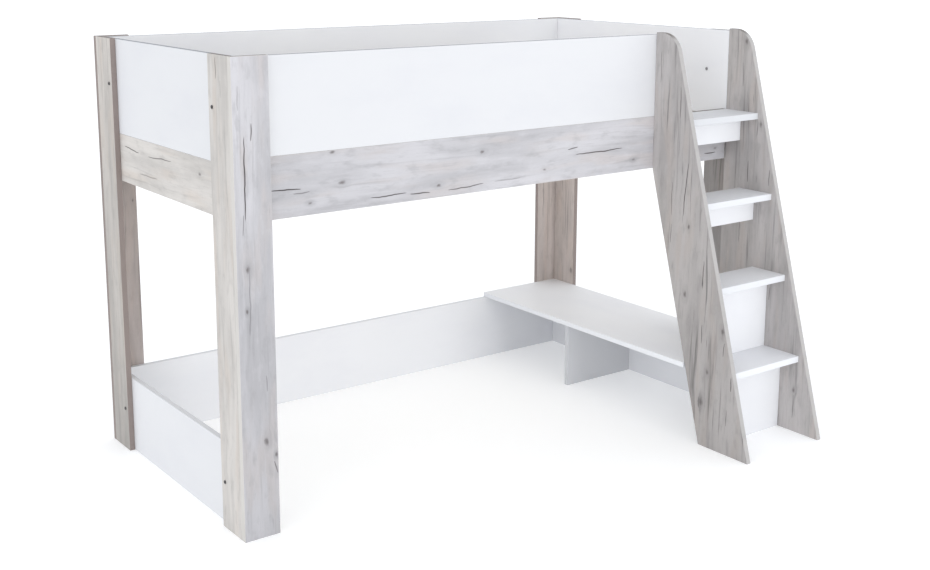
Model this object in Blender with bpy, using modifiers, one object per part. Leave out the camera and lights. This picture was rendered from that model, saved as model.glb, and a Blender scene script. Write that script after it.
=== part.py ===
"""A low loft bed with a fixed stair at one end and a low shelf beside it, in metres with +Z up.

Lengths along the bed run in X from its left end, lengths across it run in Y from its front face,
and heights run in Z from the floor. The finished bed stands centred on the origin.
"""

import math

import bmesh
import bpy
from mathutils import Matrix, Vector

# Boards and clearances
BOARD = 0.018
TREAD_THICKNESS = 0.022
GAP = 0.0003
ARRIS = 0.0006

# The mattress sets the length and width: two lapped boards stand at each end and each side of it
MATTRESS_LENGTH = 1.90
MATTRESS_WIDTH = 0.90
MATTRESS_PLAY = 0.012
BED_LENGTH = MATTRESS_LENGTH + MATTRESS_PLAY + 4 * BOARD
BED_WIDTH = MATTRESS_WIDTH + MATTRESS_PLAY + 4 * BOARD

# Heights
POST_HEIGHT = 1.382
GUARD_TOP = POST_HEIGHT - 0.003
STAIR_TOP = POST_HEIGHT + 0.004
RAIL_BOTTOM = 0.922
LONG_RAIL_TOP = 1.101
END_RAIL_TOP = 1.077
BASE_HEIGHT = 0.253

# Corner posts: one board on the long side, one on the end
POST_LONG_SIDE_WIDTH = 0.113
POST_END_WIDTH = 0.140
LEG_WIDTH = 0.130

# Stair
STAIR_CLEAR_WIDTH = 0.340
STAIR_REACH = 0.4585
STAIR_FOOT_DEPTH = 0.2195
STAIR_SLOPE = 0.28
STAIR_CORNER_RADIUS = 0.085
CORNER_STEPS = 20
TREAD_COUNT = 4
FIRST_TREAD_TOP = 0.278
TREAD_SETBACK = 0.020
TREAD_DEPTH = 0.148
RISER_SETBACK = 0.077
APRON_DROP = 0.083
APRON_COUNT = 2

# Shelf
SHELF_LEFT = 1.587
SHELF_FRONT = -0.160
PARTITION_FRONT = 0.475
PARTITION_LEFT = 1.622

# Slatted base
SLAT_COUNT = 11
SLAT_WIDTH = 0.095
SLAT_THICKNESS = 0.018
SLAT_END_PLAY = 0.003
BEARER_WIDTH = 0.025
BEARER_HEIGHT = 0.030
BEARER_BOTTOM = 0.935

# Connector bolts with sleeve nuts
BOLT_INSET = 0.118
BOLT_HEIGHTS = {"upper": 1.2365, "lower": 0.144}
BOLT_RADIUS = 0.0030
BOLT_REACH = 0.030
HEAD_RADIUS = 0.0055
HEAD_HEIGHT = 0.0022
HEAD_EDGE = 0.0007
SOCKET_RADIUS = 0.0026
SOCKET_DEPTH = 0.0013
SLEEVE_RADIUS = 0.0045
SLEEVE_LENGTH = 0.0140
SLEEVE_FLOOR = 0.0030
FASTENER_STEPS = 24

# Centre of the bed's outline, stair included, which becomes the origin
CENTRE = Vector((BED_LENGTH / 2, (BED_WIDTH - STAIR_REACH) / 2, 0.0))


def clear_scene():
    for item in list(bpy.data.objects):
        bpy.data.objects.remove(item, do_unlink=True)


def make_collection(name, hidden=False):
    collection = bpy.data.collections.new(name)
    bpy.context.scene.collection.children.link(collection)
    collection.hide_render = hidden
    return collection


def make_material(name, color, roughness, metallic=0.0):
    material = bpy.data.materials.new(name)
    material.use_nodes = True
    shader = material.node_tree.nodes["Principled BSDF"]
    shader.inputs["Base Color"].default_value = (*color, 1.0)
    shader.inputs["Roughness"].default_value = roughness
    shader.inputs["Metallic"].default_value = metallic
    material.diffuse_color = (*color, 1.0)
    return material


clear_scene()
parts = make_collection("loft_bed")
cutters = make_collection("cutters", hidden=True)

MATERIALS = {
    "weathered_oak": make_material("weathered_oak", (0.60, 0.57, 0.54), 0.60),
    "white_melamine": make_material("white_melamine", (0.86, 0.87, 0.89), 0.38),
    "slat_pine": make_material("slat_pine", (0.74, 0.58, 0.38), 0.65),
    "bolt_steel": make_material("bolt_steel", (0.10, 0.10, 0.11), 0.35, 1.0),
}


def add_object(name, mesh, material_name, location=(0, 0, 0)):
    """Links a mesh as a named part. Locations are in bed coordinates and are centred here."""
    part = bpy.data.objects.new(name, mesh)
    part.location = Vector(location) - CENTRE
    part.data.materials.append(MATERIALS[material_name])
    parts.objects.link(part)
    return part


def finish_mesh(name, shape):
    mesh = bpy.data.meshes.new(name)
    bmesh.ops.recalc_face_normals(shape, faces=shape.faces)
    shape.to_mesh(mesh)
    shape.free()
    return mesh


def board(name, x, y, z, material_name):
    """A flat board filling the cell x, y, z, less the gap to its neighbours, with eased edges."""
    low = Vector((x[0] + GAP / 2, y[0] + GAP / 2, z[0]))
    high = Vector((x[1] - GAP / 2, y[1] - GAP / 2, z[1] - GAP))
    shape = bmesh.new()
    bmesh.ops.create_cube(shape, size=1.0)
    bmesh.ops.scale(shape, vec=high - low, verts=shape.verts)
    bmesh.ops.bevel(shape, geom=shape.edges[:], offset=ARRIS, segments=1, affect="EDGES")
    return add_object(name, finish_mesh(name, shape), material_name, (low + high) / 2)


def plate(name, outline, turn, middle, material_name):
    """A board with any outline, drawn in its own plane, turned and set down, with eased edges."""
    thickness = BOARD - GAP
    shape = bmesh.new()
    corners = [shape.verts.new((along, across, -thickness / 2)) for along, across in outline]
    grown = bmesh.ops.extrude_face_region(shape, geom=[shape.faces.new(corners)])
    far_side = [item for item in grown["geom"] if isinstance(item, bmesh.types.BMVert)]
    bmesh.ops.translate(shape, vec=(0.0, 0.0, thickness), verts=far_side)
    bmesh.ops.transform(shape, matrix=turn, verts=shape.verts)
    part = add_object(name, finish_mesh(name, shape), material_name, middle)
    ease = part.modifiers.new("eased edges", "BEVEL")
    ease.width = ARRIS
    ease.segments = 1
    ease.limit_method = "ANGLE"
    ease.angle_limit = math.radians(40)
    return part


def cut(part, cutter):
    modifier = part.modifiers.new("hole", "BOOLEAN")
    modifier.operation = "DIFFERENCE"
    modifier.solver = "EXACT"
    modifier.object = cutter


def cylinder_cutter(name, centre, radius, length, segments=FASTENER_STEPS):
    """A round or six-sided cutter lying along X."""
    mesh = bpy.data.meshes.new(name)
    shape = bmesh.new()
    bmesh.ops.create_cone(
        shape,
        cap_ends=True,
        segments=segments,
        radius1=radius,
        radius2=radius,
        depth=length,
        matrix=Matrix.Rotation(math.pi / 2, 4, "Y"),
    )
    shape.to_mesh(mesh)
    shape.free()
    cutter = bpy.data.objects.new(name, mesh)
    cutter.location = Vector(centre) - CENTRE
    cutter.display_type = "WIRE"
    cutter.hide_render = True
    cutters.objects.link(cutter)
    return cutter


# Where the lapped layers lie: the posts are outermost, the panels stand inside them
FRONT_PANEL = (BOARD, 2 * BOARD)
BACK_POST = (BED_WIDTH - BOARD, BED_WIDTH)
BACK_PANEL = (BED_WIDTH - 2 * BOARD, BED_WIDTH - BOARD)
LEFT_PANEL = (BOARD, 2 * BOARD)
RIGHT_POST = (BED_LENGTH - BOARD, BED_LENGTH)
RIGHT_PANEL = (BED_LENGTH - 2 * BOARD, BED_LENGTH - BOARD)
BETWEEN_ENDS = (2 * BOARD, BED_LENGTH - 2 * BOARD)
END_SPAN = (BOARD, BED_WIDTH - BOARD)

STAIR_RIGHT = RIGHT_PANEL
STAIR_LEFT = (STAIR_RIGHT[0] - STAIR_CLEAR_WIDTH - BOARD, STAIR_RIGHT[0] - STAIR_CLEAR_WIDTH)
BETWEEN_STRINGERS = (STAIR_LEFT[1], STAIR_RIGHT[0])


def build_posts():
    """Three angle posts of two boards each, and one leg board outside the right stair side, level with
    the guards."""
    full = (0.0, POST_HEIGHT)
    left_long = (0.0, POST_LONG_SIDE_WIDTH)
    right_long = (BED_LENGTH - POST_LONG_SIDE_WIDTH, BED_LENGTH)
    front_end = (BOARD, POST_END_WIDTH)
    back_end = (BED_WIDTH - POST_END_WIDTH, BED_WIDTH - BOARD)
    oak = "weathered_oak"
    board("post_front_left_face", left_long, (0.0, BOARD), full, oak)
    board("post_back_left_face", left_long, BACK_POST, full, oak)
    board("post_back_right_face", right_long, BACK_POST, full, oak)
    return {
        "left_front": board("post_front_left_side", (0.0, BOARD), front_end, full, oak),
        "left_back": board("post_back_left_side", (0.0, BOARD), back_end, full, oak),
        "right_back": board("post_back_right_side", RIGHT_POST, back_end, full, oak),
        "right_front": board("leg_front_right", RIGHT_POST, (0.0, LEG_WIDTH), (0.0, GUARD_TOP), oak),
    }


def build_rails():
    oak = "weathered_oak"
    board("rail_front", BETWEEN_ENDS, FRONT_PANEL, (RAIL_BOTTOM, LONG_RAIL_TOP), oak)
    board("rail_back", BETWEEN_ENDS, BACK_PANEL, (RAIL_BOTTOM, LONG_RAIL_TOP), oak)
    board("rail_left", LEFT_PANEL, END_SPAN, (RAIL_BOTTOM, END_RAIL_TOP), oak)
    board("rail_right", RIGHT_PANEL, END_SPAN, (RAIL_BOTTOM, END_RAIL_TOP), oak)


def build_guards():
    """The front guard stops at the stair, which leaves the way in."""
    white = "white_melamine"
    long_height = (LONG_RAIL_TOP, GUARD_TOP)
    end_height = (END_RAIL_TOP, GUARD_TOP)
    board("guard_front", (2 * BOARD, STAIR_LEFT[1]), FRONT_PANEL, long_height, white)
    board("guard_back", BETWEEN_ENDS, BACK_PANEL, long_height, white)
    return {
        "left": board("guard_left", LEFT_PANEL, END_SPAN, end_height, white),
        "right": board("guard_right", RIGHT_PANEL, END_SPAN, end_height, white),
    }


def build_base_boards():
    white = "white_melamine"
    height = (0.0, BASE_HEIGHT)
    board("base_rear", BETWEEN_ENDS, BACK_PANEL, height, white)
    return {
        "left": board("base_left", LEFT_PANEL, END_SPAN, height, white),
        "right": board("base_right", RIGHT_PANEL, END_SPAN, height, white),
    }


def build_shelf():
    """The shelf lies on the base boards, and is notched round the right stair side."""
    white = "white_melamine"
    left, right = SHELF_LEFT + GAP / 2, RIGHT_POST[0] - GAP / 2
    front, back = SHELF_FRONT + GAP / 2, BACK_POST[0] - GAP / 2
    notch_x, notch_y = STAIR_RIGHT[0] - GAP / 2, BOARD + GAP / 2
    outline = [
        (left, front),
        (notch_x, front),
        (notch_x, notch_y),
        (right, notch_y),
        (right, back),
        (left, back),
    ]
    middle = (0.0, 0.0, BASE_HEIGHT + (BOARD - GAP) / 2)
    plate("shelf_top", outline, Matrix.Identity(4), middle, white)
    partition_x = (PARTITION_LEFT, RIGHT_PANEL[0])
    partition_y = (PARTITION_FRONT, PARTITION_FRONT + BOARD)
    board("shelf_partition", partition_x, partition_y, (0.0, BASE_HEIGHT), white)


def stringer_outline(foot_back):
    """The stair side in Y and Z: raked in front, with a round top corner, and raked behind to foot_back."""
    back = BOARD - GAP / 2
    foot_front = -STAIR_REACH
    knee = (back - foot_back) / STAIR_SLOPE
    rake = math.atan(STAIR_SLOPE)
    centre_z = STAIR_TOP - STAIR_CORNER_RADIUS
    front_at_centre = foot_front + STAIR_SLOPE * centre_z
    centre_y = front_at_centre + STAIR_CORNER_RADIUS / math.cos(rake)
    outline = [(foot_back, 0.0), (foot_front, 0.0)]
    for step in range(CORNER_STEPS + 1):
        angle = math.pi - rake - (math.pi / 2 - rake) * step / CORNER_STEPS
        y = centre_y + STAIR_CORNER_RADIUS * math.cos(angle)
        z = centre_z + STAIR_CORNER_RADIUS * math.sin(angle)
        outline.append((y, z))
    outline.append((back, STAIR_TOP))
    if knee > 0.0:
        outline.append((back, knee))
    return outline


def stringer(name, x, foot_back):
    """One stair side, square to X."""
    upright = Matrix(((0, 0, 1, 0), (1, 0, 0, 0), (0, 1, 0, 0), (0, 0, 0, 1)))
    middle = ((x[0] + x[1]) / 2, 0.0, 0.0)
    plate(name, stringer_outline(foot_back), upright, middle, "weathered_oak")


def front_of_tread(top):
    return -STAIR_REACH + STAIR_SLOPE * top + TREAD_SETBACK


def build_stair():
    """The sides carry the treads, and the right one fills the end back to the leg. The lower risers close
    the gap between treads, the upper ones are short aprons."""
    stringer("stair_side_left", STAIR_LEFT, -STAIR_REACH + STAIR_FOOT_DEPTH)
    stringer("stair_side_right", STAIR_RIGHT, BOARD - GAP / 2)
    rise = (LONG_RAIL_TOP - FIRST_TREAD_TOP) / (TREAD_COUNT - 1)
    for number in range(1, TREAD_COUNT + 1):
        top = FIRST_TREAD_TOP + rise * (number - 1)
        front = front_of_tread(top)
        underside = top - TREAD_THICKNESS
        depth = TREAD_DEPTH
        if number == 1:
            depth = front_of_tread(top + rise) + RISER_SETBACK + BOARD - front
        tread_y = (front, min(front + depth, BOARD))
        board(f"tread_{number}", BETWEEN_STRINGERS, tread_y, (underside, top), "white_melamine")
        bottom = top - rise if number > 1 else 0.0
        if number > TREAD_COUNT - APRON_COUNT:
            bottom = underside - APRON_DROP
        riser_y = (front + RISER_SETBACK, front + RISER_SETBACK + BOARD)
        board(f"riser_{number}", BETWEEN_STRINGERS, riser_y, (bottom, underside), "white_melamine")


def build_slatted_base():
    inner_front = 2 * BOARD
    inner_back = BED_WIDTH - 2 * BOARD
    bearer_z = (BEARER_BOTTOM, BEARER_BOTTOM + BEARER_HEIGHT)
    slat_z = (bearer_z[1], bearer_z[1] + SLAT_THICKNESS)
    pine = "slat_pine"
    front_y = (inner_front, inner_front + BEARER_WIDTH)
    back_y = (inner_back - BEARER_WIDTH, inner_back)
    board("slat_bearer_front", BETWEEN_ENDS, front_y, bearer_z, pine)
    board("slat_bearer_back", BETWEEN_ENDS, back_y, bearer_z, pine)
    slat_y = (inner_front + SLAT_END_PLAY, inner_back - SLAT_END_PLAY)
    span = BETWEEN_ENDS[1] - BETWEEN_ENDS[0]
    space = (span - SLAT_COUNT * SLAT_WIDTH) / (SLAT_COUNT + 1)
    for index in range(SLAT_COUNT):
        left = BETWEEN_ENDS[0] + space + index * (SLAT_WIDTH + space)
        board(f"slat_{index + 1:02d}", (left, left + SLAT_WIDTH), slat_y, slat_z, pine)


def turned(name, profile, location, towards):
    """A turned fastener from (distance along X, radius) points, pointing inwards from its end."""
    mesh = bpy.data.meshes.new(name)
    shape = bmesh.new()
    corners = [shape.verts.new((along * towards, radius, 0.0)) for along, radius in profile]
    for first, second in zip(corners, corners[1:]):
        shape.edges.new((first, second))
    shape.to_mesh(mesh)
    shape.free()
    part = add_object(name, mesh, "bolt_steel", location)
    screw = part.modifiers.new("turned", "SCREW")
    screw.axis = "X"
    screw.steps = FASTENER_STEPS
    screw.render_steps = FASTENER_STEPS
    screw.use_merge_vertices = True
    screw.merge_threshold = 0.00001
    screw.use_normal_calculate = True
    screw.use_smooth_shade = False
    return part


def bolt_profile():
    """From the middle of the head's face to the tip of the shank."""
    return [
        (-HEAD_HEIGHT - GAP, 0.0),
        (-HEAD_HEIGHT - GAP, HEAD_RADIUS - HEAD_EDGE),
        (-HEAD_HEIGHT - GAP + HEAD_EDGE, HEAD_RADIUS),
        (-GAP, HEAD_RADIUS),
        (-GAP, BOLT_RADIUS),
        (BOLT_REACH - HEAD_EDGE, BOLT_RADIUS),
        (BOLT_REACH, BOLT_RADIUS - HEAD_EDGE),
        (BOLT_REACH, 0.0),
    ]


def sleeve_nut_profile():
    """The closed head shows inside the panel, and the sleeve reaches back over the bolt."""
    face = 2 * BOARD + GAP
    mouth = face - SLEEVE_LENGTH
    bore = BOLT_RADIUS + GAP
    return [
        (face - SLEEVE_FLOOR, 0.0),
        (face - SLEEVE_FLOOR, bore),
        (mouth, bore),
        (mouth, SLEEVE_RADIUS),
        (face, SLEEVE_RADIUS),
        (face, HEAD_RADIUS),
        (face + HEAD_HEIGHT - HEAD_EDGE, HEAD_RADIUS),
        (face + HEAD_HEIGHT, HEAD_RADIUS - HEAD_EDGE),
        (face + HEAD_HEIGHT, 0.0),
    ]


def socket_cutter(name, centre):
    """The hexagon recess in a bolt's head."""
    return cylinder_cutter(name, centre, SOCKET_RADIUS, 2 * SOCKET_DEPTH, segments=6)


def build_fasteners(posts, guards, bases):
    """Each end board is bolted through its post board, with a sleeve nut on the inside."""
    ends = {"left": (0.0, 1), "right": (BED_LENGTH, -1)}
    rows = {"front": BOLT_INSET, "back": BED_WIDTH - BOLT_INSET}
    for end, (face, towards) in ends.items():
        for row, y in rows.items():
            for level, z in BOLT_HEIGHTS.items():
                label = f"{end}_{row}_{level}"
                post_centre = (face + towards * BOARD / 2, y, z)
                panel_centre = (face + towards * BOARD * 3 / 2, y, z)
                post_hole = cylinder_cutter(
                    f"cut_post_{label}", post_centre, BOLT_RADIUS + GAP, 1.4 * BOARD
                )
                panel_hole = cylinder_cutter(
                    f"cut_panel_{label}", panel_centre, SLEEVE_RADIUS + GAP, 1.4 * BOARD
                )
                cut(posts[f"{end}_{row}"], post_hole)
                cut(guards[end] if level == "upper" else bases[end], panel_hole)
                bolt = turned(f"bolt_{label}", bolt_profile(), (face, y, z), towards)
                head_face = face - towards * (HEAD_HEIGHT + GAP)
                cut(bolt, socket_cutter(f"cut_socket_{label}", (head_face, y, z)))
                turned(f"sleeve_nut_{label}", sleeve_nut_profile(), (face, y, z), towards)


post_sides = build_posts()
build_rails()
guard_ends = build_guards()
base_ends = build_base_boards()
build_shelf()
build_stair()
build_slatted_base()
build_fasteners(post_sides, guard_ends, base_ends)
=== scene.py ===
"""The looks of the loft bed: weathered oak and white melamine boards, pale slats, steel bolts and nuts.

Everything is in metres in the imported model's frame. Every piece keeps its own solid. A board gets a
procedural finish laid out from its own box: the grain runs along the board, the wide faces carry the
decor and the narrow ones an edge band.
"""

import math

import bmesh
import bpy
from mathutils import Euler, Matrix, Vector


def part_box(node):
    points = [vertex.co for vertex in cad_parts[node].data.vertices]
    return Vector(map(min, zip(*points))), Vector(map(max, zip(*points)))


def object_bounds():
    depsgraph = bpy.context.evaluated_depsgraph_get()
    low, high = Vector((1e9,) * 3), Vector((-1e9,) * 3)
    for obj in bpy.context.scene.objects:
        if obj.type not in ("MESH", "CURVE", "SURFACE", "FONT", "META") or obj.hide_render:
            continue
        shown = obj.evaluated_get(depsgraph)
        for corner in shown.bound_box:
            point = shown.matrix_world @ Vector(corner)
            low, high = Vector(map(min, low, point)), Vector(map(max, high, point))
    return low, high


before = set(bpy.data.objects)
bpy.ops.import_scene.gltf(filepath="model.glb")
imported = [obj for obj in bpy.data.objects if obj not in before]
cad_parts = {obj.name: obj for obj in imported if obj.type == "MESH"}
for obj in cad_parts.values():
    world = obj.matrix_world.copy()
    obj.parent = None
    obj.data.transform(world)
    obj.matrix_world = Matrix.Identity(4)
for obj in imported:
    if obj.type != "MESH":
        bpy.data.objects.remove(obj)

CAD_LOW, CAD_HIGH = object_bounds()

# Camera, which stands in front of the bed's left end
CAMERA_PLACE = Vector((-2.513, -3.359, 1.670))
CAMERA_PITCH = math.radians(11.07)
CAMERA_YAW = math.radians(36.32)
CAMERA_ROLL = math.radians(0.12)
CAMERA_LENS = 49.68
CAMERA_SHIFT = (0.0054, -0.0946)

# Studio
FLOOR_RADIUS = 60.0
FLOOR_COLOR = (0.86, 0.86, 0.86, 1.0)
FLOOR_CLOUD_COLOR = (0.82, 0.82, 0.82, 1.0)
FLOOR_GLOW = 0.27
ROOM_COLOR = (0.965, 0.98, 1.0, 1.0)
ROOM_LIGHT = 1.04

# Wide soft lamps: degrees round from the front towards the left, degrees above the floor, degrees of
# spread, and strength
LAMPS = {
    "front": (0, 6, 22, 0.84),
    "left": (60, 12, 30, 0.28),
}

AXES = {"X": 0, "Y": 1, "Z": 2}

# Boards whose grain runs upright, whatever their longest side is
UPRIGHT_GRAIN = ("post_", "leg_", "stair_side_")


def linear(value):
    """A colour channel from 0 to 255, as light."""
    value /= 255
    return value / 12.92 if value <= 0.04045 else ((value + 0.055) / 1.055) ** 2.4


def color(red, green, blue):
    return (linear(red), linear(green), linear(blue), 1.0)


def first_match(table, name, otherwise=None):
    """The first entry whose key the name starts with."""
    return next((entry for prefix, entry in table.items() if name.startswith(prefix)), otherwise)


class Graph:
    """One material's nodes, with a short call for each kind that the finishes use."""

    def __init__(self, name):
        self.material = bpy.data.materials.new(name)
        self.material.use_nodes = True
        self.tree = self.material.node_tree
        self.shader = self.tree.nodes["Principled BSDF"]

    def node(self, kind, **settings):
        made = self.tree.nodes.new(kind)
        for key, value in settings.items():
            setattr(made, key, value)
        return made

    def put(self, value, socket):
        if isinstance(value, bpy.types.NodeSocket):
            self.tree.links.new(value, socket)
        else:
            socket.default_value = value

    def math(self, operation, *values, clamp=False):
        made = self.node("ShaderNodeMath", operation=operation, use_clamp=clamp)
        for value, socket in zip(values, made.inputs):
            self.put(value, socket)
        return made.outputs[0]

    def vector(self, x, y, z=0.0):
        made = self.node("ShaderNodeCombineXYZ")
        for value, socket in zip((x, y, z), made.inputs):
            self.put(value, socket)
        return made.outputs[0]

    def scaled(self, vector, *factors):
        made = self.node("ShaderNodeVectorMath", operation="MULTIPLY")
        self.put(vector, made.inputs[0])
        made.inputs[1].default_value = factors
        return made.outputs[0]

    def dimmed(self, shade, share):
        made = self.node("ShaderNodeVectorMath", operation="SCALE")
        self.put(shade, made.inputs[0])
        self.put(share, made.inputs["Scale"])
        return made.outputs[0]

    def noise(self, vector, detail=2.0, roughness=0.5):
        made = self.node("ShaderNodeTexNoise", noise_dimensions="3D")
        self.put(vector, made.inputs["Vector"])
        made.inputs["Scale"].default_value = 1.0
        made.inputs["Detail"].default_value = detail
        made.inputs["Roughness"].default_value = roughness
        return made.outputs["Fac"]

    def ramp(self, value, start, end, low=0.0, high=1.0):
        """low up to start, high from end on, and a smooth step between."""
        made = self.node("ShaderNodeMapRange", interpolation_type="SMOOTHSTEP")
        for given, socket in zip((value, start, end, low, high), made.inputs):
            self.put(given, socket)
        return made.outputs[0]

    def mix(self, factor, first, second):
        made = self.node("ShaderNodeMix", data_type="RGBA")
        self.put(factor, made.inputs[0])
        self.put(first, made.inputs[6])
        self.put(second, made.inputs[7])
        return made.outputs[2]

    def bump(self, height, distance):
        made = self.node("ShaderNodeBump")
        self.put(height, made.inputs["Height"])
        made.inputs["Distance"].default_value = distance
        self.put(made.outputs["Normal"], self.shader.inputs["Normal"])


class Board:
    """A board's box, and its coordinates: across its face, along its grain and through its thickness."""

    def __init__(self, name):
        self.low, self.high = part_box(name)
        size = self.high - self.low
        order = sorted("XYZ", key=lambda axis: size[AXES[axis]])
        self.thick_axis, self.across_axis, self.grain_axis = order
        if name.startswith(UPRIGHT_GRAIN) and self.grain_axis != "Z":
            self.across_axis, self.grain_axis = self.grain_axis, "Z"

    def coordinates(self, graph):
        """(across, along, through) from the board's own low corner, as sockets."""
        place = graph.node("ShaderNodeTexCoord")
        apart = graph.node("ShaderNodeSeparateXYZ")
        graph.put(place.outputs["Object"], apart.inputs[0])
        return [
            graph.math("SUBTRACT", apart.outputs[axis], self.low[AXES[axis]])
            for axis in (self.across_axis, self.grain_axis, self.thick_axis)
        ]

    def masks(self, graph):
        """(1 on the two wide faces and 0 on the narrow edges, 1 on whatever faces up, where the edges
        get painted shade).
        """
        place = graph.node("ShaderNodeTexCoord")
        apart = graph.node("ShaderNodeSeparateXYZ")
        graph.put(place.outputs["Normal"], apart.inputs[0])
        facing = graph.math("ABSOLUTE", apart.outputs[self.thick_axis])
        return graph.ramp(facing, 0.70, 0.95), graph.ramp(apart.outputs["Z"], 0.70, 0.95)

    def drift(self, graph, along, low_end, high_end):
        """Runs evenly from one value at the board's low end to another at its high end."""
        length = self.high[AXES[self.grain_axis]] - self.low[AXES[self.grain_axis]]
        return graph.math("MULTIPLY_ADD", along, (high_end - low_end) / length, low_end)


def finish_piece(name, graph):
    """Gives a frame piece its finish in the place of the plain one."""
    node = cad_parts[name]
    for place in node.material_slots:
        place.material = graph.material


# Weathered oak decor

OAK_PALE = color(193, 192, 196)
OAK_WARM = color(208, 204, 200)
OAK_DUSTY = color(197, 192, 187)
OAK_GREIGE = color(179, 175, 174)
OAK_BROWN = color(190, 181, 177)
OAK_UMBER = color(176, 167, 164)
BAND_PALE = color(206, 203, 199)
BAND_GREY = color(176, 174, 173)
BAND_SHADED = color(140, 129, 125)
# painted shade: the darker colour of the up-facing narrow edges
OAK_PAINTED_TOP_SHADE = color(118, 112, 109)
CRACK_COLOR = color(70, 64, 64)
KNOT_COLOR = color(112, 106, 106)

# Every board's tone, edge band and strength of streaks, and the share of its tone that each end keeps,
# which is painted light and shade along the board
OAK_BOARDS = {
    "post_front_left_face": (OAK_PALE, BAND_PALE, 0.5, 0.74, 0.93),
    "post_front_left_side": (OAK_WARM, BAND_PALE, 0.5, 0.92, 0.86),
    "post_back_left_face": (OAK_UMBER, BAND_SHADED, 0.9, 1.0, 1.0),
    "post_back_left_side": (OAK_DUSTY, BAND_SHADED, 0.7, 0.70, 0.93),
    "post_back_right_face": (OAK_BROWN, BAND_SHADED, 0.9, 1.0, 1.0),
    "post_back_right_side": (OAK_BROWN, BAND_SHADED, 0.9, 1.0, 1.0),
    "leg_front_right": (OAK_GREIGE, BAND_SHADED, 1.5, 0.72, 0.68),
    "rail_front": (OAK_PALE, BAND_PALE, 0.45, 0.83, 1.03),
    "rail_back": (OAK_PALE, BAND_PALE, 0.5, 1.0, 1.0),
    "rail_left": (OAK_WARM, BAND_PALE, 0.5, 0.91, 0.93),
    "rail_right": (OAK_WARM, BAND_PALE, 0.5, 1.0, 1.0),
    "stair_side_left": (OAK_GREIGE, BAND_GREY, 1.5, 0.82, 1.02),
    "stair_side_right": (OAK_GREIGE, BAND_GREY, 1.3, 1.03, 1.03),
}

# Marks that the decor shows on the boards in view, in metres from a board's own low corner.
# A crack is (across, along, length, lean, darkness), a knot is (across, along, size).
CRACKS = {
    "post_front_left_face": [
        (0.032, 1.050, 0.240, 0.01, 0.95),
        (0.055, 1.176, 0.050, 0.06, 0.75),
        (0.024, 0.922, 0.060, 0.05, 0.45),
        (0.037, 0.700, 0.190, 0.02, 0.35),
        (0.018, 1.270, 0.070, 0.00, 0.30),
        (0.104, 0.205, 0.040, -0.25, 0.60),
        (0.082, 0.460, 0.050, 0.00, 0.35),
    ],
    "post_front_left_side": [(0.073, 1.345, 0.060, 0.00, 0.70), (0.048, 1.290, 0.050, 0.00, 0.35)],
    "rail_front": [
        (0.080, 0.130, 0.100, -0.02, 0.95),
        (0.067, 0.180, 0.055, 0.03, 0.50),
        (0.026, 0.472, 0.130, 0.01, 0.85),
        (0.020, 0.584, 0.075, -0.03, 0.85),
        (0.021, 0.755, 0.140, 0.04, 0.75),
        (0.027, 0.918, 0.110, 0.00, 0.35),
        (0.101, 1.189, 0.045, 0.10, 0.80),
        (0.080, 1.305, 0.215, 0.01, 0.90),
        (0.025, 1.837, 0.060, 0.00, 0.90),
    ],
    "post_back_right_side": [
        (0.076, 0.800, 0.300, 0.00, 0.55),
        (0.054, 0.600, 0.260, 0.01, 0.45),
    ],
    "post_back_right_face": [(0.030, 0.640, 0.200, 0.00, 0.45)],
    "rail_left": [
        (0.114, 0.733, 0.120, 0.07, 0.80),
        (0.112, 0.517, 0.180, -0.05, 0.65),
        (0.045, 0.606, 0.140, -0.02, 0.45),
    ],
    "stair_side_left": [
        (0.450, 1.270, 0.110, 0.02, 0.45),
        (0.354, 1.160, 0.110, 0.00, 0.60),
        (0.318, 0.870, 0.190, -0.08, 0.85),
        (0.380, 0.830, 0.120, 0.00, 0.50),
        (0.379, 0.710, 0.070, 0.00, 0.55),
        (0.226, 0.600, 0.090, -0.05, 0.70),
        (0.221, 0.390, 0.070, 0.00, 0.65),
        (0.121, 0.360, 0.050, -0.10, 0.60),
        (0.084, 0.250, 0.050, 0.00, 0.80),
        (0.100, 0.130, 0.060, 0.00, 0.45),
    ],
    "stair_side_right": [
        (0.402, 1.230, 0.090, 0.00, 0.50),
        (0.363, 0.890, 0.080, 0.05, 0.70),
        (0.266, 0.880, 0.060, 0.00, 0.60),
        (0.328, 1.050, 0.060, 0.00, 0.55),
        (0.390, 0.680, 0.110, 0.00, 0.45),
        (0.240, 0.470, 0.050, 0.00, 0.60),
        (0.112, 0.090, 0.090, 0.00, 0.60),
    ],
}
KNOTS = {
    "post_front_left_face": [
        (0.034, 0.798, 0.009),
        (0.076, 0.288, 0.010),
        (0.106, 0.243, 0.005),
        (0.028, 0.678, 0.005),
    ],
    "rail_front": [
        (0.082, 0.313, 0.009),
        (0.034, 0.207, 0.006),
        (0.173, 0.283, 0.007),
        (0.037, 0.652, 0.007),
        (0.124, 0.817, 0.008),
        (0.043, 1.071, 0.006),
        (0.038, 1.461, 0.006),
        (0.041, 1.862, 0.006),
    ],
    "post_back_left_face": [(0.099, 0.828, 0.005)],
    "post_back_right_side": [(0.013, 0.330, 0.010)],
    "rail_left": [(0.106, 0.234, 0.008)],
    "stair_side_left": [
        (0.298, 0.747, 0.007),
        (0.304, 0.511, 0.010),
        (0.214, 0.154, 0.012),
        (0.129, 0.421, 0.009),
        (0.190, 0.264, 0.008),
    ],
    "stair_side_right": [(0.394, 1.345, 0.010), (0.314, 1.061, 0.008), (0.112, 0.150, 0.008)],
}
KNOT_STRETCH = 1.8
KNOT_RAGGED = 1.1
KNOT_STRENGTH = 0.85
HALO_REACH = 3.2
GRAIN_PUSH = 0.8
GRAIN_WANDER = 0.05
CRACK_HALF_WIDTH = 0.0026
CRACK_SWAY = 0.010

# Every board is cut from its own place in one endless plank: steps across and along it, in metres
OAK_STEP = (3.7, 1.9)

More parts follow.
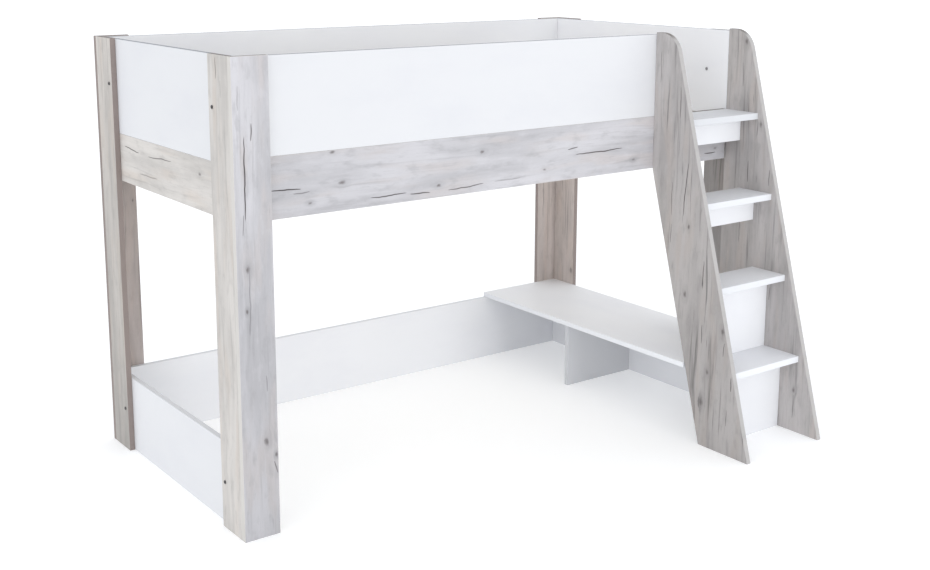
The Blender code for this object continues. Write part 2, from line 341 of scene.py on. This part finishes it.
# Layers of noise that the grain carries: how many times a metre each changes across, along and through
# the board, its detail and its roughness
OAK_LAYERS = {
    "patches": ((14.0, 1.8, 3.0), 3.0, 0.5),
    "tints": ((22.0, 3.1, 2.0), 2.0, 0.5),
    "smudges": ((42.0, 13.0, 4.0), 3.0, 0.6),
    "streaks": ((75.0, 2.6, 8.0), 4.0, 0.6),
    "dashes": ((150.0, 9.0, 8.0), 2.0, 0.5),
    "fibres": ((480.0, 9.0, 40.0), 3.0, 0.7),
    "pores": ((1300.0, 60.0, 60.0), 1.0, 0.5),
}


def far_from(graph, across, along, place, width, length):
    """Distance from a place on the board, as a share of this half width and length."""
    sideways = graph.math("DIVIDE", graph.math("SUBTRACT", across, place[0]), width)
    lengthways = graph.math("DIVIDE", graph.math("SUBTRACT", along, place[1]), length)
    sideways_squared = graph.math("MULTIPLY", sideways, sideways)
    return graph.math("SQRT", graph.math("MULTIPLY_ADD", lengthways, lengthways, sideways_squared))


def crack_mask(graph, across, along, sway, crack):
    """1 along one crack, which tapers to its ends and sways with the grain."""
    middle, centre, length, lean, darkness = crack
    run = graph.math("DIVIDE", graph.math("SUBTRACT", along, centre), length / 2)
    taper = graph.math("SUBTRACT", 1.0, graph.math("MULTIPLY", run, run), clamp=True)
    line = graph.math("MULTIPLY_ADD", graph.math("SUBTRACT", along, centre), lean, middle)
    line = graph.math("MULTIPLY_ADD", graph.math("SUBTRACT", sway, 0.5), CRACK_SWAY, line)
    aside = graph.math("ABSOLUTE", graph.math("SUBTRACT", across, line))
    width = graph.math("MULTIPLY_ADD", graph.math("SQRT", taper), CRACK_HALF_WIDTH, 0.00001)
    inside = graph.ramp(graph.math("DIVIDE", aside, width), 0.35, 1.0, 1.0, 0.0)
    return graph.math("MULTIPLY", inside, graph.math("MULTIPLY", graph.ramp(taper, 0.0, 0.2), darkness))


def darker(shade, share):
    return (*(channel * share for channel in shade[:3]), 1.0)


def parted_grain(name, graph, across, along, plank, across_plank):
    """The knots (1 inside), their halos (1 at a knot, fading out round it), and the grain's place across
    the board, which wanders a little and parts round each knot."""
    wander = graph.noise(graph.scaled(plank, 5.0, 1.5, 1.0))
    flow = graph.math("MULTIPLY_ADD", wander, GRAIN_WANDER, across_plank)
    ragged = graph.noise(graph.scaled(plank, 130.0, 60.0, 20.0))
    knots, halos = 0.0, 0.0
    for place_across, place_along, size in KNOTS.get(name, []):
        place = (place_across, place_along)
        far = far_from(graph, across, along, place, size, KNOT_STRETCH * size)
        far = graph.math("MULTIPLY_ADD", ragged, KNOT_RAGGED, far)
        knots = graph.math("MAXIMUM", knots, graph.ramp(far, 0.6, 1.5, 1.0, 0.0))
        halo = graph.ramp(far, 0.8, HALO_REACH, 1.0, 0.0)
        halos = graph.math("MAXIMUM", halos, halo)
        aside = graph.math("SUBTRACT", across, place_across)
        flow = graph.math("MULTIPLY_ADD", graph.math("MULTIPLY", aside, halo), -GRAIN_PUSH, flow)
    return knots, halos, flow


def all_cracks(name, graph, across, along, plank):
    """1 along every open crack of the board."""
    sway = graph.noise(graph.scaled(plank, 2.0, 14.0, 1.0))
    cracks = 0.0
    for crack in CRACKS.get(name, []):
        cracks = graph.math("MAXIMUM", cracks, crack_mask(graph, across, along, sway, crack))
    return cracks


def grain_shade(graph, layers, tone, strength):
    """The tone with everything that the grain carries, from the widest patches to the finest pores."""
    patches, tints, smudges, streaks, dashes, fibres, pores = layers.values()
    shade = graph.mix(graph.ramp(patches, 0.35, 0.65), darker(tone, 1.12), darker(tone, 0.90))
    warm = (tone[0] * 1.04, tone[1] * 0.98, tone[2] * 0.93, 1.0)
    shade = graph.mix(graph.ramp(tints, 0.48, 0.68, 0.0, 0.6), shade, warm)
    shade = graph.mix(graph.ramp(smudges, 0.50, 0.72, 0.0, 0.45), shade, darker(tone, 0.72))
    shade = graph.mix(graph.ramp(smudges, 0.30, 0.46, 0.35, 0.0), shade, darker(tone, 1.15))
    shade = graph.mix(graph.ramp(streaks, 0.52, 0.80, 0.0, strength), shade, darker(tone, 0.50))
    shade = graph.mix(graph.ramp(streaks, 0.26, 0.44, 0.35, 0.0), shade, darker(tone, 1.22))
    shade = graph.mix(graph.ramp(dashes, 0.66, 0.80, 0.0, 0.7 * strength), shade, darker(tone, 0.40))
    shade = graph.mix(graph.ramp(fibres, 0.50, 0.80, 0.0, 0.22), shade, darker(tone, 0.55))
    return graph.mix(graph.ramp(pores, 0.64, 0.76, 0.0, 0.25), shade, darker(tone, 0.45))


def weathered_oak(name, seed):
    """Bleached oak: patches, streaks, fibres and pores, knots that part the grain, cracks, painted light
    and shade from end to end, and painted shade on the up-facing edges.
    """
    tone, band, strength, low_painted_light_share, high_painted_light_share = OAK_BOARDS[name]
    board = Board(name)
    graph = Graph(name + "_oak")
    across, along, through = board.coordinates(graph)
    across_plank = graph.math("ADD", across, OAK_STEP[0] * seed)
    along_plank = graph.math("ADD", along, OAK_STEP[1] * seed)
    plank = graph.vector(across_plank, along_plank, through)
    knots, halos, flow = parted_grain(name, graph, across, along, plank, across_plank)
    cracks = all_cracks(name, graph, across, along, plank)
    grain = graph.vector(flow, along_plank, through)
    layers = {
        layer: graph.noise(graph.scaled(grain, *pace), detail, roughness)
        for layer, (pace, detail, roughness) in OAK_LAYERS.items()
    }
    streaks, fibres = layers["streaks"], layers["fibres"]

    # the wide faces carry the decor
    shade = grain_shade(graph, layers, tone, strength)
    stain = graph.math("MULTIPLY", halos, graph.ramp(streaks, 0.30, 0.70, 0.1, 0.7))
    shade = graph.mix(stain, shade, darker(tone, 0.62))
    shade = graph.mix(graph.math("MULTIPLY", knots, KNOT_STRENGTH), shade, KNOT_COLOR)
    shade = graph.mix(cracks, shade, CRACK_COLOR)
    # painted light and shade: the decor darkens or lightens evenly from one end of the board to the
    # other
    shade = graph.dimmed(shade, board.drift(graph, along, low_painted_light_share, high_painted_light_share))

    # the narrow edges carry a plainer band, with painted shade on the edges that face up
    wide, painted_top_shade_mask = board.masks(graph)
    band_shade = graph.mix(graph.ramp(streaks, 0.45, 0.75, 0.0, 0.5), band, darker(band, 0.8))
    band_shade = graph.mix(painted_top_shade_mask, band_shade, OAK_PAINTED_TOP_SHADE)

    graph.put(graph.mix(wide, band_shade, shade), graph.shader.inputs["Base Color"])
    rough = graph.math("MULTIPLY_ADD", fibres, 0.18, 0.50)
    graph.put(graph.math("MULTIPLY_ADD", cracks, 0.2, rough), graph.shader.inputs["Roughness"])
    graph.shader.inputs["Specular IOR Level"].default_value = 0.35
    depth = graph.math("MULTIPLY_ADD", cracks, -1.0, graph.math("MULTIPLY", fibres, 0.25))
    graph.bump(depth, 0.0008)
    finish_piece(name, graph)


# White melamine

MELAMINE_WHITE = color(229, 230, 233)
MELAMINE_SHADE = color(226, 227, 231)
MELAMINE_BAND = color(220, 222, 226)
# painted shade for the guards' up-facing top edges
MELAMINE_PAINTED_TOP_SHADE = color(142, 146, 154)
MELAMINE_STEP = 2.3

# Painted light and shade: boards painted duller or whiter, and the share of the white that each end
# keeps
MELAMINE_PAINTED_LIGHT_SHARES = {
    "guard_front": (0.83, 0.87),
    "guard_back": (0.91, 0.91),
    "guard_left": (0.91, 0.91),
    "guard_right": (1.12, 1.12),
    "base_left": (0.93, 0.93),
    "base_rear": (0.94, 1.00),
    "tread_1": (1.06, 1.06),
    "tread_4": (0.88, 0.88),
    "riser_1": (1.00, 1.00),
    "riser_": (1.07, 1.07),
    "shelf_top": (1.17, 1.05),
    "shelf_partition": (0.80, 0.80),
}
# Boards with no painted light or shade
NO_PAINTED_LIGHT = (1.0, 1.0)

# Only the guards have painted shade on their up-facing top edge, which makes it darker than their faces
PAINTED_TOP_SHADE_PIECES = "guard_"


def white_melamine(name, seed):
    """White board with a faint pearled skin, slight handling marks, a band on its edges, painted shade
    on the guards' up-facing edges, and painted light and shade from end to end.
    """
    board = Board(name)
    graph = Graph(name + "_melamine")
    across, along, through = board.coordinates(graph)
    place = graph.vector(graph.math("ADD", across, MELAMINE_STEP * seed), along, through)
    pearl = graph.noise(graph.scaled(place, 950.0, 950.0, 950.0), detail=2.0, roughness=0.6)
    ripple = graph.noise(graph.scaled(place, 14.0, 9.0, 10.0), detail=2.0)
    marks = graph.noise(graph.scaled(place, 5.0, 2.2, 4.0), detail=5.0, roughness=0.62)
    skin = graph.mix(graph.ramp(marks, 0.42, 0.70), MELAMINE_WHITE, MELAMINE_SHADE)
    wide, painted_top_shade_mask = board.masks(graph)
    band = MELAMINE_BAND
    # painted shade: the guards' up-facing edges are painted darker
    if name.startswith(PAINTED_TOP_SHADE_PIECES):
        band = graph.mix(painted_top_shade_mask, MELAMINE_BAND, MELAMINE_PAINTED_TOP_SHADE)
    # painted light and shade: the white is painted duller or whiter, evenly from one end of the board to
    # the other
    painted_light_share = board.drift(graph, along, *first_match(MELAMINE_PAINTED_LIGHT_SHARES, name, NO_PAINTED_LIGHT))
    graph.put(graph.dimmed(graph.mix(wide, band, skin), painted_light_share), graph.shader.inputs["Base Color"])
    gloss = graph.math("MULTIPLY_ADD", marks, 0.16, 0.40)
    graph.put(graph.math("MULTIPLY_ADD", pearl, 0.06, gloss), graph.shader.inputs["Roughness"])
    graph.shader.inputs["Specular IOR Level"].default_value = 0.25
    height = graph.math("MULTIPLY_ADD", pearl, 0.10, graph.math("MULTIPLY", ripple, 0.35))
    graph.bump(height, 0.0005)
    finish_piece(name, graph)


# Pale pine slats and bearers

PINE_PALE = color(231, 223, 208)
PINE_RING = color(212, 196, 170)
PINE_KNOT = color(132, 96, 66)
PINE_STEP = (0.83, 2.1)
RINGS_PER_METRE = 30.0


def planed_pine(name, seed):
    """Planed softwood: year rings drawn out along the slat, fibres and a few brown knots."""
    board = Board(name)
    graph = Graph(name + "_pine")
    across, along, through = board.coordinates(graph)
    across_plank = graph.math("ADD", across, PINE_STEP[0] * seed)
    along_plank = graph.math("ADD", along, PINE_STEP[1] * seed)
    plank = graph.vector(across_plank, along_plank, through)
    sway = graph.noise(graph.scaled(plank, 3.0, 1.1, 3.0), detail=1.0)
    bent = graph.math("MULTIPLY_ADD", sway, 0.09, across_plank)
    rings = graph.math("PINGPONG", graph.math("MULTIPLY", bent, 2 * RINGS_PER_METRE), 1.0)
    grain = graph.vector(bent, along_plank, through)
    fibres = graph.noise(graph.scaled(grain, 500.0, 12.0, 80.0), detail=3.0)
    knots = graph.node("ShaderNodeTexVoronoi", voronoi_dimensions="2D", feature="F1")
    graph.put(graph.scaled(plank, 18.0, 5.0, 0.0), knots.inputs["Vector"])
    knots.inputs["Scale"].default_value = 1.0
    knot = graph.ramp(knots.outputs["Distance"], 0.05, 0.12, 1.0, 0.0)
    ringed = graph.mix(graph.ramp(rings, 0.35, 0.95, 0.0, 0.6), PINE_PALE, PINE_RING)
    fibred = graph.mix(graph.ramp(fibres, 0.5, 0.8, 0.0, 0.35), ringed, PINE_RING)
    shade = graph.mix(graph.math("MULTIPLY", knot, 0.8), fibred, PINE_KNOT)
    graph.put(shade, graph.shader.inputs["Base Color"])
    graph.put(graph.math("MULTIPLY_ADD", fibres, 0.2, 0.5), graph.shader.inputs["Roughness"])
    graph.shader.inputs["Specular IOR Level"].default_value = 0.3
    graph.bump(fibres, 0.0003)
    finish_piece(name, graph)


# Blackened bolts and bright sleeve nuts: fresh and worn colours

STEELS = {
    "bolt_": (color(86, 85, 86), color(148, 146, 145)),
    "sleeve_nut_": (color(150, 150, 154), color(186, 186, 188)),
}


def turned_steel(name, fresh, worn):
    """Steel with turning marks and paler wear, for all pieces of one kind."""
    graph = Graph(name + "steel")
    place = graph.node("ShaderNodeTexCoord").outputs["Object"]
    wear = graph.noise(graph.scaled(place, 900.0, 900.0, 900.0), detail=4.0, roughness=0.65)
    turning = graph.noise(graph.scaled(place, 300.0, 4000.0, 4000.0), detail=1.0)
    graph.put(graph.mix(graph.ramp(wear, 0.52, 0.72), fresh, worn), graph.shader.inputs["Base Color"])
    graph.shader.inputs["Metallic"].default_value = 1.0
    graph.put(graph.math("MULTIPLY_ADD", turning, 0.2, 0.28), graph.shader.inputs["Roughness"])
    graph.bump(turning, 0.0001)
    return graph


FINISHES = {
    "weathered_oak": weathered_oak,
    "white_melamine": white_melamine,
    "slat_pine": planed_pine,
}


def finish_frame():
    """Every frame node gets the detailed finish of its own material slot."""
    steels = {prefix: turned_steel(prefix, *shades) for prefix, shades in STEELS.items()}
    for seed, name in enumerate(sorted(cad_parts)):
        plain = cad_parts[name].material_slots[0].material.name
        kind = plain.split(".")[0]
        if kind in FINISHES:
            FINISHES[kind](name, seed)
        else:
            finish_piece(name, first_match(steels, name))


def make_floor():
    """A wide pale disc, plain enough to melt into the room."""
    form = bmesh.new()
    bmesh.ops.create_circle(form, cap_ends=True, radius=FLOOR_RADIUS, segments=96)
    mesh = bpy.data.meshes.new("floor")
    form.to_mesh(mesh)
    form.free()
    floor = bpy.data.objects.new("floor", mesh)
    floor.location.z = CAD_LOW.z
    bpy.context.scene.collection.objects.link(floor)
    graph = Graph("floor_pale")
    place = graph.node("ShaderNodeTexCoord").outputs["Object"]
    cloud = graph.noise(graph.scaled(place, 1.3, 1.3, 1.3), detail=3.0)
    shade = graph.mix(cloud, FLOOR_COLOR, FLOOR_CLOUD_COLOR)
    graph.put(shade, graph.shader.inputs["Base Color"])
    graph.shader.inputs["Emission Color"].default_value = ROOM_COLOR
    graph.shader.inputs["Emission Strength"].default_value = FLOOR_GLOW
    graph.shader.inputs["Roughness"].default_value = 0.8
    graph.shader.inputs["Specular IOR Level"].default_value = 0.2
    mesh.materials.append(graph.material)


def make_room():
    """Even white surroundings."""
    world = bpy.data.worlds.new("studio")
    world.use_nodes = True
    surroundings = world.node_tree.nodes["Background"]
    surroundings.inputs["Color"].default_value = ROOM_COLOR
    surroundings.inputs["Strength"].default_value = ROOM_LIGHT
    bpy.context.scene.world = world


def make_lamp(name, azimuth, elevation, spread, strength):
    """A lamp far enough away to light the bed and the floor evenly, and wide enough for soft shadows."""
    lamp = bpy.data.lights.new(name, "SUN")
    lamp.angle = math.radians(spread)
    lamp.energy = strength
    item = bpy.data.objects.new(name, lamp)
    item.rotation_euler = Euler((math.radians(90 - elevation), 0.0, -math.radians(azimuth)))
    bpy.context.scene.collection.objects.link(item)


def make_camera():
    lens = bpy.data.cameras.new("camera")
    lens.lens = CAMERA_LENS
    lens.sensor_width = 36.0
    lens.shift_x, lens.shift_y = CAMERA_SHIFT
    lens.clip_end = 3 * FLOOR_RADIUS
    item = bpy.data.objects.new("camera", lens)
    aim = Euler((math.pi / 2 - CAMERA_PITCH, 0.0, -CAMERA_YAW)).to_matrix().to_4x4()
    roll = Matrix.Rotation(CAMERA_ROLL, 4, "Z")
    item.matrix_world = Matrix.Translation(CAMERA_PLACE) @ aim @ roll
    bpy.context.scene.collection.objects.link(item)
    bpy.context.scene.camera = item


finish_frame()
make_floor()
make_room()
for lamp_name, lamp_values in LAMPS.items():
    make_lamp(lamp_name, *lamp_values)
make_camera()
bpy.context.scene.view_settings.view_transform = "Standard"
